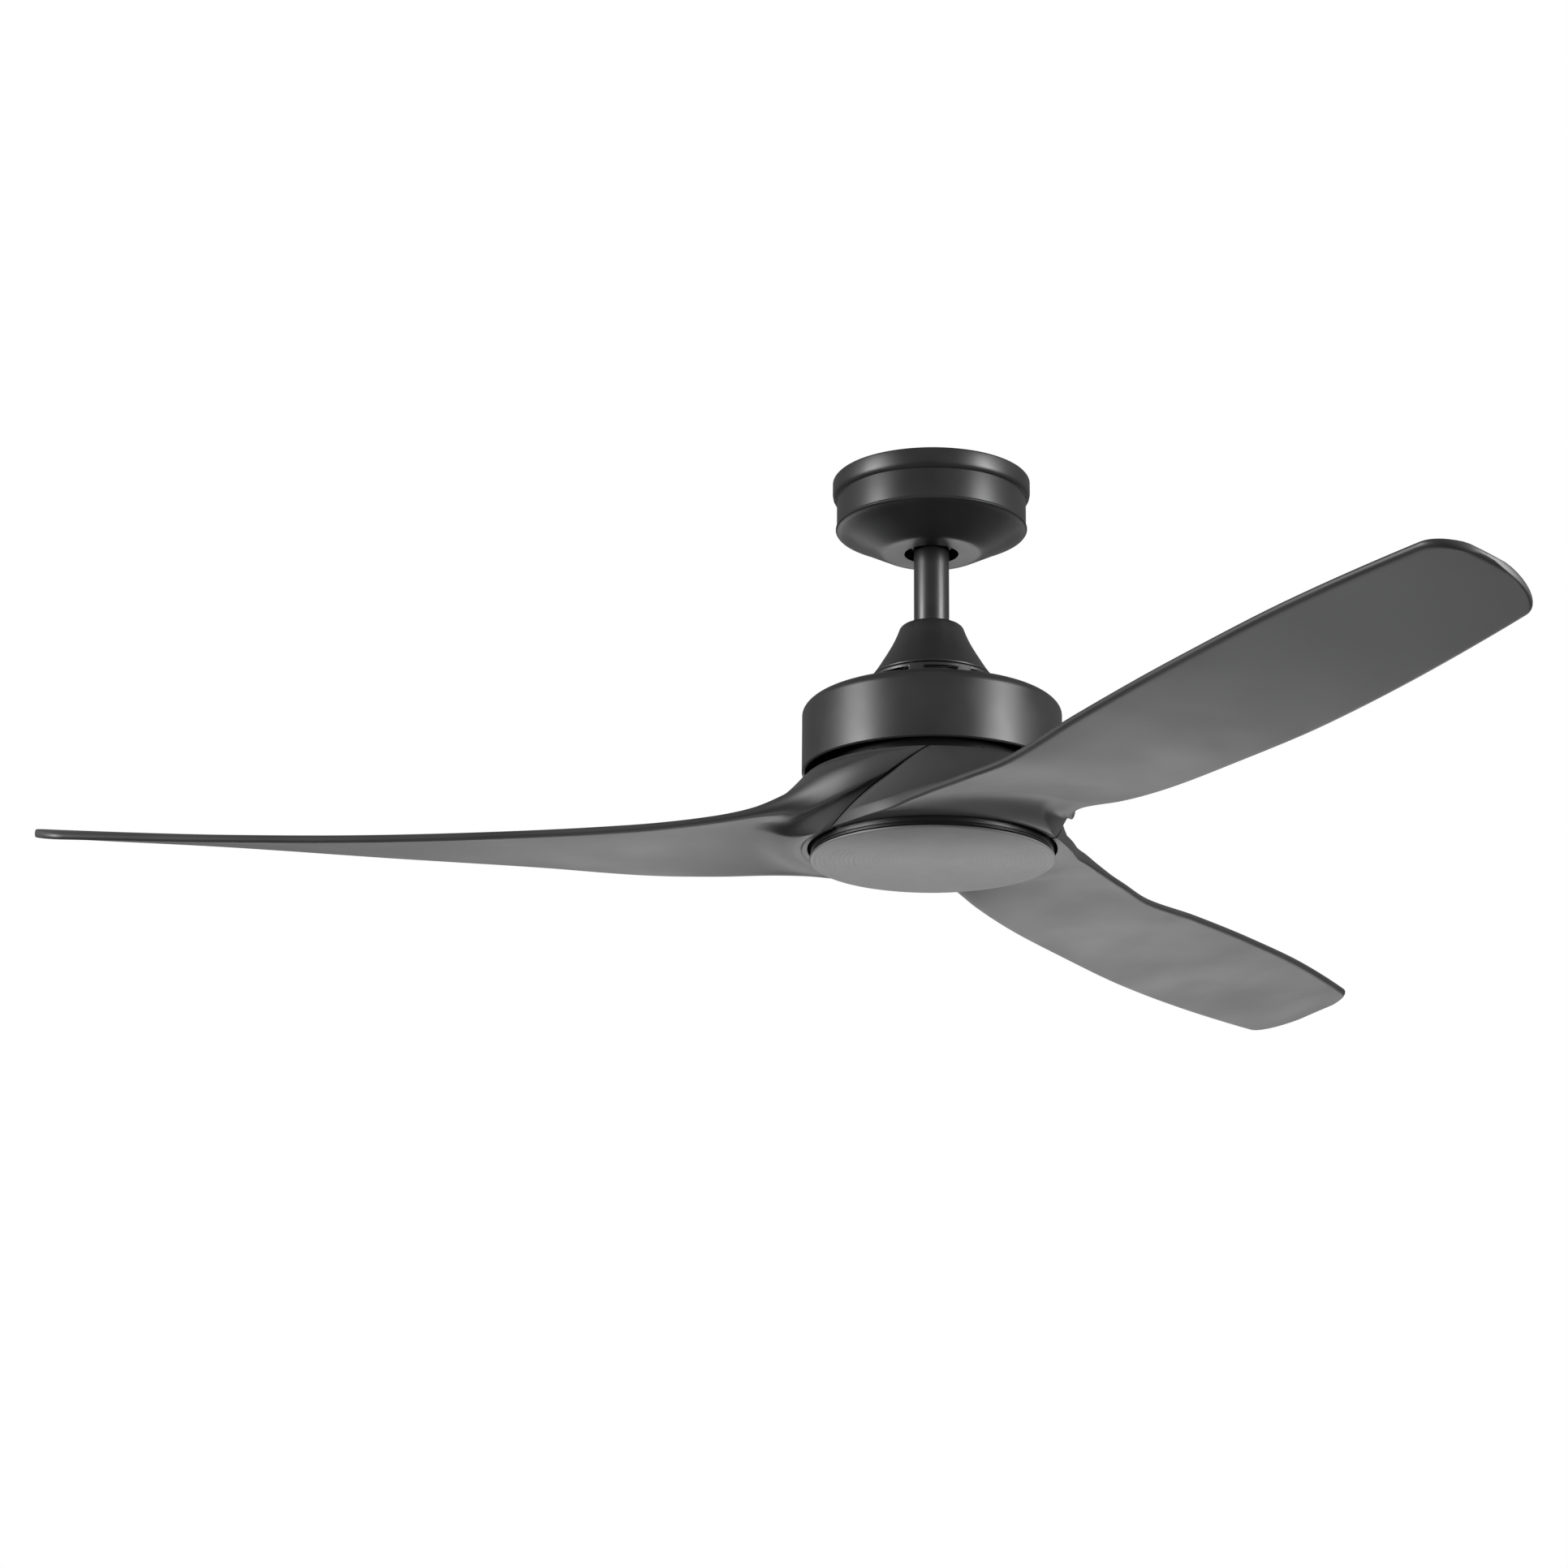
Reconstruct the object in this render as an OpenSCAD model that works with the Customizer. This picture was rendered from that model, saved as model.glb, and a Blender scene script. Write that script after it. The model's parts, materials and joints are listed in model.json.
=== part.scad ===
// Three-blade ceiling fan hung from a ball-and-downrod mount.
// Origin: ceiling plane, on the rod's axis. +Z up, so every piece lies at z <= 0.
// Pieces below the canopy are placed by their height above the light cover's face.

/* [Overall] */
// Drop from the ceiling to the face of the light cover
total_h = 300; // [300:1:600]
// Radius swept by the blade tips
tip_r = 672; // [640:1:720]

/* [Canopy] */
// Outer radius of the trim ring against the ceiling
ring_r = 75.2; // [75:0.1:77]
// Height of the trim ring
ring_h = 15.5; // [15:0.5:18]
// Outer radius of the canopy wall
canopy_r = 72; // [71.5:0.1:72.1]
// Depth of the canopy below the ceiling
canopy_h = 58; // [57.5:0.5:60]
// Radius of the hole that the rod hangs through
canopy_hole_r = 20.6; // [20:0.1:22]

/* [Downrod] */
// Outer radius of the downrod
rod_r = 13.35; // [13:0.05:13.6]
// Wall of the downrod
rod_wall = 2; // [1.5:0.1:2.5]
// Radius of the hanger ball
ball_r = 24; // [23.5:0.1:24.2]

/* [Motor housing] */
// Outer radius of the motor housing
housing_r = 97.4; // [96:0.1:98]
// Wall of the motor housing
housing_wall = 2.2; // [1.8:0.1:2.4]

/* [Blades] */
// Thickness of a blade
blade_t = 6.2; // [5:0.1:7]
// Outer radius of the collar that the blade roots form
collar_r = 96.5; // [96:0.1:97]
// Wall of the collar
collar_wall = 3.5; // [3:0.1:3.5]
// Arch of a blade at mid chord
blade_camber = 1.5; // [0:0.5:4]

/* [Light cover] */
// Radius of the light cover
cover_r = 91.2; // [91:0.1:92]

/* [Hidden] */
$fn = 96;

black = "#1c1c1d";
eps = 0.01;

// Heights above the light cover's face
ball_z = -34;
collar_lo = 8.5;
collar_hi = 60;
drum_lo = 67;
drum_hi = 112;
neck_h = 134;
vent_top = 140.5;
coupling_top = 172;
rod_foot = 149;
clevis_h = 158;
set_screw_h = 167;
web_lo = 55;
bearing_w = 12;
upper_bearing = 98;
lower_bearing = 44;
pan_top = 26;
pan_lip = 2.8;
shaft_foot = 15;

// Running parts
shaft_r = 10;
shaft_bore_r = 6.5;
bearing_od_r = 21;
ball_race_r = 15.5;
race_ball_r = 3.2;
can_r = 80;
can_wall = 3;
magnet_t = 3.5;
air_gap = 0.8;
poles = 14;
teeth = 12;
hub_r = collar_r - collar_wall - 0.5;
hub_lo = 30;
pan_r = 90.3;
pan_wall = 1.8;
stator_r = can_r - can_wall - magnet_t - air_gap;

module lower() translate([0, 0, -total_h]) children();
module ring_of(n, first = 0) for (i = [0 : n - 1]) rotate([0, 0, first + i * 360 / n]) children();
module tube(r_out, r_in, h) difference() {
    cylinder(r = r_out, h = h);
    translate([0, 0, -1]) cylinder(r = r_in, h = h + 2);
}

// ---------------------------------------------------------------- ceiling side

slot_spacing = 79.4;
slot_len = 16;
slot_r = 2.6;
plate_t = 2.5;
ear_x = 66;
leg_x = 28;
seat_lo = ball_z - 15.5;
seat_r = ball_r + 0.08;

// Slot with true round ends, so that its walls stay cylinders
module plate_slot(x) {
    reach = slot_len / 2 - slot_r;
    for (s = [-1, 1])
        translate([x + s * reach, 0, -plate_t - 1]) cylinder(r = slot_r, h = plate_t + 2);
    translate([x - reach, -slot_r, -plate_t - 1]) cube([2 * reach, 2 * slot_r, plate_t + 2]);
}

module hanger_bracket() color("#b8b8b4") difference() {
    union() {
        translate([-ear_x - plate_t, -11, -plate_t]) cube([2 * (ear_x + plate_t), 22, plate_t]);
        translate([-56, -19, -plate_t]) cube([112, 38, plate_t]);
        for (s = [0, 180]) rotate([0, 0, s]) {
            translate([ear_x, -11, -16]) cube([plate_t, 22, 16]);
            translate([leg_x, -14, -44]) cube([plate_t, 28, 44]);
        }
        translate([0, 0, seat_lo]) cylinder(r = 30.5, h = 12);
    }
    translate([0, 0, ball_z]) sphere(r = seat_r);
    translate([0, 0, seat_lo - 1]) cylinder(r = 18.4, h = 10);
    translate([0, 0, -plate_t - 1]) cylinder(r = 20, h = plate_t + 2);
    translate([-rod_r - 1, -40, seat_lo - 1]) cube([2 * rod_r + 2, 40, 14]);
    for (s = [-1, 1]) {
        plate_slot(s * slot_spacing / 2);
        translate([s * ear_x - 4, 0, canopy_screw_z]) rotate([0, 90, 0]) cylinder(r = 2, h = 12);
    }
    translate([-20, 14, -plate_t - 1]) cylinder(r = 2, h = plate_t + 2);
}

module ground_screw() color("seagreen") translate([-20, 14, 0]) {
    translate([0, 0, -plate_t - 3]) cylinder(r = 4, h = 3);
    translate([0, 0, -plate_t - eps]) cylinder(r = 1.9, h = plate_t - 0.2);
}

// Half section of the canopy's outer face, from the ceiling down to the rod hole
canopy_outer = [[canopy_r, -1.4], [canopy_r, -37.3], [canopy_r + 0.8, -38], [canopy_r + 0.8, -39],
    [canopy_r - 0.4, -40], [68, -41.3], [60, -46], [44, -54.4], [38, -57.6],
    [36.5, -canopy_h], [canopy_hole_r, -canopy_h]];
canopy_t = 1.5;
canopy_screw_z = -7;

module canopy() color(black) difference() {
    rotate_extrude() polygon(concat(canopy_outer,
        [[canopy_hole_r, -canopy_h + canopy_t], [36.2, -canopy_h + canopy_t], [43.4, -53], [59.4, -44.6],
        [67.5, -39.8], [canopy_r - canopy_t, -38.6], [canopy_r - canopy_t, -1.4]]));
    for (s = [0, 180]) rotate([0, 0, s])
        translate([canopy_r - 6, 0, canopy_screw_z]) rotate([0, 90, 0]) cylinder(r = 2.2, h = 10);
}

module canopy_screws() color("#3a3a3c") for (s = [0, 180]) rotate([0, 0, s])
    translate([0, 0, canopy_screw_z]) rotate([0, 90, 0]) {
        translate([0, 0, canopy_r + 0.05]) cylinder(r = 3.8, h = 1.6);
        translate([0, 0, 62]) cylinder(r = 1.95, h = canopy_r - 61.8);
    }

module canopy_trim_ring() color(black) rotate_extrude() polygon([[canopy_r + 0.15, -ring_h],
    [ring_r - 1.4, -ring_h + 1.3], [ring_r - 0.4, -ring_h + 3.2], [ring_r, -ring_h + 5.4], [ring_r, -1.2],
    [ring_r - 1, 0], [canopy_r - 1.2, 0], [canopy_r - 1.2, -1.2], [ring_r - 1.3, -1.2],
    [ring_r - 1.3, -ring_h + 4.5], [canopy_r + 0.7, -ring_h + 1.9], [canopy_r + 0.15, -ring_h + 1.5]]);

receiver_x = 34;
receiver_y = 33.5;

module receiver() color("#2a2c2e") translate([-receiver_x, receiver_y, -31]) {
    cube([2 * receiver_x, 22, 22]);
    translate([6, 3, 22]) cube([2 * receiver_x - 12, 16, 2]);
}

lead_r = 1.5;
lead_ring_r = 48;

module receiver_leads() for (s = [-1, 1], k = [0, 1]) color(k == 0 ? "black" : "white")
    translate([0, 0, -14 - 6 * k]) rotate([0, 0, s > 0 ? -38 : 136])
        rotate_extrude(angle = 82) translate([lead_ring_r, 0]) circle(r = lead_r, $fn = 24);

module wire_connectors() color("#d08a2a") for (s = [-1, 1], k = [0, 1])
    translate([s * lead_ring_r * cos(38), -lead_ring_r * sin(38), -14 - 6 * k])
        rotate([0, 0, s > 0 ? -38 : 218]) rotate([90 * s, 0, 0]) mirror([0, 0, s > 0 ? 0 : 1])
            cylinder(r1 = 2.9, r2 = 1.9, h = 15);

// ---------------------------------------------------------------- ball and downrod

pin_r = 3;
pin_fit = 0.05;

module ball_cross_pin() color("#9a9a98") translate([-21.5, 0, ball_z]) rotate([0, 90, 0])
    cylinder(r = pin_r, h = 43);

module hanger_ball() color("#2b2b2c") translate([0, 0, ball_z]) difference() {
    intersection() {
        sphere(r = ball_r);
        translate([0, 0, -18]) cylinder(r = ball_r + 1, h = 36);
    }
    translate([0, 0, -20]) cylinder(r = rod_r + 0.05, h = 40);
    translate([-30, 0, 0]) rotate([0, 90, 0]) cylinder(r = pin_r + pin_fit, h = 60);
    translate([0, 0, 11]) rotate([-90, 0, 0]) cylinder(r = 2, h = 30);
}

module ball_set_screw() color("#6a6a6a") translate([0, rod_r + 0.05, ball_z + 11]) rotate([-90, 0, 0])
    cylinder(r = 1.95, h = 6.5);

module downrod() color(black) difference() {
    translate([0, 0, rod_foot - total_h]) tube(rod_r, rod_r - rod_wall, total_h - rod_foot + ball_z + 18);
    translate([-30, 0, ball_z]) rotate([0, 90, 0]) cylinder(r = pin_r + pin_fit, h = 60);
    translate([-30, 0, clevis_h - total_h]) rotate([0, 90, 0]) cylinder(r = pin_r + pin_fit, h = 60);
}

// Route of the motor's lead from the light pan up to the plug above the ball
lead_path = [[0, 3.4, 19 - total_h], [0, 3.4, 60 - total_h], [0, 3.4, 130 - total_h],
    [0, 3.4, 141 - total_h],
    [0, 3.9, 147 - total_h], [0, 5, 153 - total_h], [0, 6.3, 159 - total_h], [0, 6.8, 166 - total_h],
    [0, 6.8, ball_z], [0, 6.8, -11.5]];
lead_sides = 8;
motor_lead_r = 2.6;

module motor_lead() color("#3c3c40") {
    n = len(lead_path);
    points = [for (p = lead_path, k = [0 : lead_sides - 1])
        p + motor_lead_r * [cos(k * 360 / lead_sides), sin(k * 360 / lead_sides), 0]];
    walls = [for (i = [0 : n - 2], k = [0 : lead_sides - 1]) let (m = (k + 1) % lead_sides)
        [i * lead_sides + k, (i + 1) * lead_sides + k, (i + 1) * lead_sides + m, i * lead_sides + m]];
    foot = [for (k = [0 : lead_sides - 1]) k];
    head = [for (k = [lead_sides - 1 : -1 : 0]) (n - 1) * lead_sides + k];
    polyhedron(points, concat(walls, [foot, head]), convexity = 4);
}

module motor_plug() color("ivory") translate([-6, 3.2, -11.5]) cube([12, 7.2, 9]);

// ---------------------------------------------------------------- coupling

module coupling() color("#8c8c8c") lower() difference() {
    union() {
        translate([0, 0, neck_h]) cylinder(r = 30, h = 4);
        translate([0, 0, neck_h]) cylinder(r = 17.5, h = coupling_top - neck_h);
    }
    translate([0, 0, neck_h - 1]) cylinder(r = shaft_r + 0.02, h = 20);
    translate([0, 0, rod_foot - 0.2]) cylinder(r = rod_r + 0.05, h = 30);
    translate([-30, 0, clevis_h]) rotate([0, 90, 0]) cylinder(r = pin_r + pin_fit, h = 60);
    for (a = [60, 120]) rotate([0, 0, a])
        translate([0, 0, set_screw_h]) rotate([0, 90, 0]) cylinder(r = 2.5, h = 30);
    ring_of(4, 45) translate([24, 0, neck_h - 1]) cylinder(r = 2.1, h = 6);
}

module clevis_pin() color("#a8a8a6") lower() difference() {
    translate([-20.5, 0, clevis_h]) rotate([0, 90, 0]) {
        cylinder(r = pin_r, h = 44);
        cylinder(r = 4.6, h = 2.6);
    }
    translate([21, 0, clevis_h - 5]) cylinder(r = 0.9, h = 10);
}

// Hairpin clip: a straight leg through the pin and an eye beside it
module clevis_clip() color("#b8b8b6") lower() translate([21, 0, clevis_h]) {
    translate([0, 0, -6]) cylinder(r = 0.8, h = 14);
    translate([2.6, 0, 8]) rotate([90, 0, 0]) rotate_extrude(angle = 180)
        translate([2.6, 0]) circle(r = 0.8, $fn = 24);
    translate([5.2, 0, 2]) cylinder(r = 0.8, h = 6);
}

module coupling_set_screws() color("#5c5c5e") lower() for (a = [60, 120]) rotate([0, 0, a])
    translate([rod_r + 0.05, 0, set_screw_h]) rotate([0, 90, 0]) {
        cylinder(r = 2.45, h = 7);
        translate([0, 0, 4.3]) cylinder(r = 4, h = 3, $fn = 6);
    }

// Half section of the bell that hides the coupling: outside from the rod down, then back up inside
cover_top = 184;
cover_foot = 142;
bell = [[14.6, cover_top], [19.6, cover_top], [21.8, 183.4], [23.6, 181.9], [24.7, 180], [28.2, 171],
    [32.2, 163.4], [36.9, 155.5], [41.8, 147.6], [44.9, 143.4], [45.1, 142.4], [44.5, cover_foot],
    [43.1, cover_foot], [39.8, 147], [34.9, 154.9], [30.2, 162.6], [26.1, 170.4], [22.4, 179.6],
    [20.4, 181.6], [14.6, 182]];

module coupling_cover() color(black) lower() rotate_extrude() polygon(bell);

// ---------------------------------------------------------------- motor housing

shoulder_w = 23.4;
shoulder_h = 11.6;
neck_r = 47.5;
vents = 8;
vent_start = 10.5;
vent_arc = 32;

// Quarter-ellipse shoulder, grown inwards by the wall for the inner face
function shoulder(inset) = [for (a = [0 : 11.25 : 90]) [
    housing_r - shoulder_w + (shoulder_w - inset) * cos(a),
    drum_hi + (shoulder_h - inset) * sin(a)]];

module vent_slot() rotate([0, 0, -vent_arc / 2]) rotate_extrude(angle = vent_arc)
    translate([neck_r - 8, neck_h + 1.4]) square([12, 2.6]);

module motor_housing() color(black) lower() difference() {
    rotate_extrude() polygon(concat(
        [[shaft_r + 0.05, neck_h], [neck_r - 4, neck_h], [neck_r - 4, vent_top], [neck_r - 0.6, vent_top],
        [neck_r, vent_top - 0.6], [neck_r, neck_h - 0.9]],
        reversed(shoulder(0)),
        [[housing_r, drum_lo + 1], [housing_r - 0.8, drum_lo], [housing_r - housing_wall, drum_lo]],
        shoulder(housing_wall),
        [[neck_r, neck_h - 3.2], [shaft_r + 0.05, neck_h - 3.2]]));
    ring_of(vents, vent_start) vent_slot();
    ring_of(4, 45) translate([24, 0, neck_h - 6]) cylinder(r = 1.9, h = 10);
}

module housing_screws() color("#5c5c5e") lower() ring_of(4, 45) translate([24, 0, 0]) {
    translate([0, 0, neck_h + 4]) cylinder(r = 3.6, h = 2.4);
    translate([0, 0, neck_h - 3]) cylinder(r = 1.85, h = 8);
}

// ---------------------------------------------------------------- motor

module motor_shaft() color("#b0b0ae") lower() translate([0, 0, shaft_foot])
    tube(shaft_r, shaft_bore_r, rod_foot - 1 - shaft_foot);

module shaft_nut() color("#a0a09c") lower() translate([0, 0, pan_top - 2 - 7]) difference() {
    cylinder(r = 17, h = 7, $fn = 6);
    translate([0, 0, -1]) cylinder(r = shaft_r + 0.02, h = 9);
}

tooth_w = 13;
core_lo = 68;
core_hi = 90;
yoke_r = 34;

module stator_core() color("#77777a") lower() translate([0, 0, core_lo]) difference() {
    union() {
        cylinder(r = yoke_r, h = core_hi - core_lo);
        ring_of(teeth) translate([yoke_r - 2, -tooth_w / 2, 0])
            cube([stator_r - yoke_r, tooth_w, core_hi - core_lo]);
        difference() {
            tube(stator_r, stator_r - 4, core_hi - core_lo);
            ring_of(teeth, 15) translate([stator_r - 6, -2, -1]) cube([8, 4, 30]);
        }
    }
    translate([0, 0, -1]) cylinder(r = shaft_r + 0.02, h = core_hi - core_lo + 2);
}

coil_t = 3.2;

module stator_windings() color("#b5652a") lower() ring_of(teeth)
    translate([yoke_r + 4, 0, core_lo]) difference() {
        translate([0, -tooth_w / 2 - coil_t, -coil_t])
            cube([stator_r - yoke_r - 11, tooth_w + 2 * coil_t, core_hi - core_lo + 2 * coil_t]);
        translate([-1, -tooth_w / 2 - 0.05, -0.05])
            cube([stator_r - yoke_r, tooth_w + 0.1, core_hi - core_lo + 0.1]);
    }

module race(r_out, r_in) rotate_extrude() difference() {
    translate([r_in, 0]) square([r_out - r_in, bearing_w]);
    translate([ball_race_r, bearing_w / 2]) circle(r = race_ball_r + 0.05, $fn = 48);
}

module at_bearings() for (h = [lower_bearing, upper_bearing]) translate([0, 0, h]) children();

module bearing_inner_rings() color("#c4c4c2") lower() at_bearings() race(13.4, shaft_r + 0.02);
module bearing_outer_rings() color("#c4c4c2") lower() at_bearings() race(bearing_od_r, 17.6);
module bearing_balls() color("#dadad8") lower() at_bearings()
    ring_of(9) translate([ball_race_r, 0, bearing_w / 2]) sphere(r = race_ball_r, $fn = 32);

module rotor_can() color(black) lower() difference() {
    rotate_extrude() polygon([[bearing_od_r + 0.02, 97], [14.5, 97], [14.5, 97.9],
        [bearing_od_r + 0.02, 97.9], [bearing_od_r + 0.02, 111], [25, 111], [25, 101],
        [can_r - 4, 100], [can_r, 96], [can_r, 60],
        [can_r - can_wall, 60], [can_r - can_wall, 95], [can_r - 6, 97]]);
    ring_of(6) translate([52, 0, 90]) cylinder(r = 9, h = 20);
}

module rotor_magnets() color("#4c4c50") lower() ring_of(poles)
    rotate_extrude(angle = 360 / poles - 3) translate([can_r - can_wall - magnet_t, 66])
        square([magnet_t, 26]);

module blade_hub() color(black) lower() difference() {
    rotate_extrude() polygon([[bearing_od_r + 0.02, lower_bearing], [26, lower_bearing], [26, web_lo],
        [hub_r - 4, web_lo], [hub_r - 4, hub_lo], [hub_r, hub_lo], [hub_r, collar_hi - 0.05],
        [14.5, collar_hi - 0.05], [14.5, lower_bearing + bearing_w + 0.1],
        [bearing_od_r + 0.02, lower_bearing + bearing_w + 0.1]]);
    ring_of(9, -82) translate([hub_r - 8, 0, 42]) rotate([0, 90, 0]) cylinder(r = 2.7, h = 16);
    ring_of(6) translate([78.5, 0, 40]) cylinder(r = 1.7, h = 30);
    ring_of(6, 30) translate([55, 0, 40]) cylinder(r = 10, h = 30);
}

module hub_screws() color("#5c5c5e") lower() ring_of(6) translate([78.5, 0, 0]) {
    translate([0, 0, web_lo - 2]) cylinder(r = 3, h = 2);
    translate([0, 0, web_lo - eps]) cylinder(r = 1.65, h = 12);
}

module blade_screws() color("#5c5c5e") lower() ring_of(9, -82) translate([0, 0, 42]) rotate([0, 90, 0]) {
    translate([0, 0, hub_r - 4 - 2.4]) cylinder(r = 4.4, h = 2.4);
    translate([0, 0, hub_r - 4 - eps]) cylinder(r = 2.6, h = 7);
}

// ---------------------------------------------------------------- blades

// Plan of one blade, collar to tip: radius, then azimuth and height of the leading edge, azimuth and
// height of the trailing edge, and half the thickness at the leading and the trailing edge
half_t = blade_t / 2;
blade_plan = [
    [collar_r, -137.6, collar_lo, 30, collar_hi, 1, 2],
    [99, -128.5, 9, 18, 51.6, 1.2, 5.5],
    [104, -116.5, 9.8, 2, 42.5, 1.5, 7.5],
    [112, -105, 10.7, -16.5, 34.5, 2, 8.4],
    [124, -97.4, 11.9, -26.8, 27.8, 2.6, 6.6],
    [145, -89.5, 12, -33.5, 20.8, half_t, 3.9],
    [180, -82, 10.6, -38.3, 14, half_t, half_t],
    [230, -75.1, 10.4, -42.6, 8.6, half_t, half_t],
    [310, -70.3, 16.8, -46.8, 4.4, half_t, half_t],
    [420, -66.5, 23.5, -49.9, 1.6, half_t, half_t],
    [540, -63.6, 30, -52.2, 3.5, half_t, half_t],
    [tip_r, -61.1, 33.2, -54.1, 9, half_t, half_t]];
last = len(blade_plan) - 1;

function row_of(r, i = 0) = i < last - 1 && r >= blade_plan[i + 1][0] ? row_of(r, i + 1) : i;
function rise(c, i, j) = (blade_plan[j][c] - blade_plan[i][c]) / (blade_plan[j][0] - blade_plan[i][0]);
function slope(c, i) = rise(c, max(i - 1, 0), min(i + 1, last));
// Smooth curve through column c of the plan
function plan(c, r) =
    let (i = row_of(r), w = blade_plan[i + 1][0] - blade_plan[i][0], t = (r - blade_plan[i][0]) / w)
    (1 + 2 * t) * pow(1 - t, 2) * blade_plan[i][c] + t * pow(1 - t, 2) * w * slope(c, i)
    + t * t * (3 - 2 * t) * blade_plan[i + 1][c] + t * t * (t - 1) * w * slope(c, i + 1);

// The root flares into a third of the collar, cut off by a slanted seam at each end
seam_share = 0.284;
seam_gap = 0.6;
upper_flare = 65;
lower_flare = 45;
lead_bulge = 5;
// Depth and width of the rounded corners of a tip, and how far out from the collar the edges fill out
lead_corner = [20, 29];
trail_corner = [30, 50];
edge_grow = 2.5;
// Length of an edge's rounding, in half thicknesses
edge_round = 1.2;

function flare(r, reach) = pow(max(0, 1 - (r - collar_r) / reach), 2);
function smooth(u) = let (v = min(1, max(0, u))) v * v * (3 - 2 * v);
function arc(u) = sqrt(max(0, 1 - pow(1 - min(1, u), 2)));
// 1 over the rounding of an edge, then down to 0 over three more such lengths
function fade(u) = 1 - smooth((u - 1) / 3);
function corner(r, size) = size[1] * (1 - arc(1 - max(0, r - tip_r + size[0]) / size[0]));
function tip_thin(r) = max(0.25, arc(1 - max(0, r - tip_r + half_t) / half_t));

// Stations across the chord from ta to tb, close together over the roundings la and lb
chord_steps = 15;
edge_steps = [0.04, 0.15, 0.4, 0.75, 1.1];
function reversed(list) = [for (i = [len(list) - 1 : -1 : 0]) list[i]];
function stations(ta, tb, la, lb) =
    let (from = ta + la * edge_steps[4], to = tb - lb * edge_steps[4])
    concat([for (e = edge_steps) ta + e * la],
        [for (k = [1 : chord_steps]) from + (to - from) * k / (chord_steps + 1)],
        [for (e = reversed(edge_steps)) tb - e * lb]);

// Section of the blade at radius r: the leading edge, the upper side, the trailing edge, the lower side
function section(r) =
    let (q = max(r, collar_r), root = flare(q, upper_flare), under = flare(q, lower_flare),
        a0 = plan(1, q), a1 = plan(3, q), z0 = plan(2, q), z1 = plan(4, q),
        chord = (a1 - a0) * PI / 180 * q, gap = seam_gap * root / (a1 - a0),
        ta = gap + corner(q, lead_corner) / chord, tb = 1 - gap - corner(q, trail_corner) / chord,
        thin = tip_thin(q), grow = min(1, (q - collar_r) / edge_grow) * thin,
        ha = plan(5, q) * grow, hb = plan(6, q) * grow,
        most = 0.3 * (tb - ta),
        la = min(most, edge_round * max(ha, 1) / chord), lb = min(most, edge_round * max(hb, 1) / chord),
        plain = half_t * thin * (1 - root), full = collar_hi - collar_lo, arch = blade_camber * (1 - root),
        mid = function (t) z0 + (z1 - z0) * t + arch * 4 * t * (1 - t),
        over = function (t) plain + root * (z0 + (collar_hi - z0) * min(1, (t - gap) / seam_share) - mid(t)),
        below = function (t) plain + under * full
            * (t - max(0, (t - 1 + seam_share + gap) / seam_share)),
        at_lead = function (t) fade((t - ta) / la),
        rounding = function (t) arc((t - ta) / la) * arc((tb - t) / lb),
        upper = function (t) mid(t) + rounding(t) * (over(t)
            + (ha + lead_bulge * sqrt(root) * grow - over(ta)) * at_lead(t)
            + (hb - over(1)) * smooth((t - 0.4) / 0.6)),
        lower = function (t) mid(t) - rounding(t) * (below(t)
            + (ha - below(0)) * at_lead(t) + (hb - below(tb)) * fade((tb - t) / lb)),
        spot = function (t, z) [r * cos(a0 + (a1 - a0) * t), r * sin(a0 + (a1 - a0) * t), z],
        ts = stations(ta, tb, la, lb))
    concat([spot(ta, mid(ta))], [for (t = ts) spot(t, upper(t))],
        [spot(tb, mid(tb))], [for (t = reversed(ts)) spot(t, lower(t))]);

ring_steps = 22;
tip_steps = 7;
tip_depth = trail_corner[0];
blade_radii = concat([collar_r - collar_wall],
    [for (i = [0 : ring_steps]) collar_r + (tip_r - tip_depth - collar_r) * pow(i / ring_steps, 2.1)],
    [for (i = [1 : tip_steps]) tip_r - tip_depth * (1 - sin(i * 90 / tip_steps))]);

module blade() color(black) lower() {
    rings = [for (r = blade_radii) section(r)];
    n = len(rings[0]);
    half = n / 2;
    top = len(rings) - 1;
    points = [for (ring = rings, p = ring) p];
    walls = [for (i = [0 : top - 1], k = [0 : n - 1]) let (a = i * n + k, b = i * n + (k + 1) % n)
        each [[a, b, a + n], [b, b + n, a + n]]];
    // End caps are strips from the upper side to the lower side
    strips = [for (k = [0 : half - 1]) each
        k == 0 ? [[1, 0, n - 1]] : k == half - 1 ? [[k + 1, k, n - k]]
        : [[k + 1, k, n - k], [n - k - 1, k + 1, n - k]]];
    polyhedron(points, concat(walls, strips,
        [for (f = strips) [f[2] + top * n, f[1] + top * n, f[0] + top * n]]), convexity = 8);
}

module blade_1() blade();
module blade_2() rotate([0, 0, 120]) blade();
module blade_3() rotate([0, 0, 240]) blade();

// ---------------------------------------------------------------- light

ledge_arc = 22;
lug_arc = 18;
ledge_h = 9;
ledge_in_r = 85.6;

module light_pan() color(black) lower() difference() {
    union() {
        rotate_extrude() polygon([[shaft_r + 0.05, pan_top], [pan_r - 1.5, pan_top], [pan_r, pan_top - 1.5],
            [pan_r, 5.2], [pan_r - 0.9, 4.9], [pan_r - 0.9, 4.1], [pan_r + 0.4, 3.8], [pan_r + 0.4, 3],
            [pan_r, pan_lip], [pan_r - pan_wall, pan_lip], [pan_r - pan_wall, pan_top - 2],
            [shaft_r + 0.05, pan_top - 2]]);
        ring_of(3) rotate([0, 0, -ledge_arc / 2]) rotate_extrude(angle = ledge_arc)
            translate([ledge_in_r, ledge_h]) square([pan_r - 1 - ledge_in_r, 2]);
    }
    ring_of(3, 30) translate([20, 0, pan_top - 4]) cylinder(r = 1.6, h = 6);
}

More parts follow.
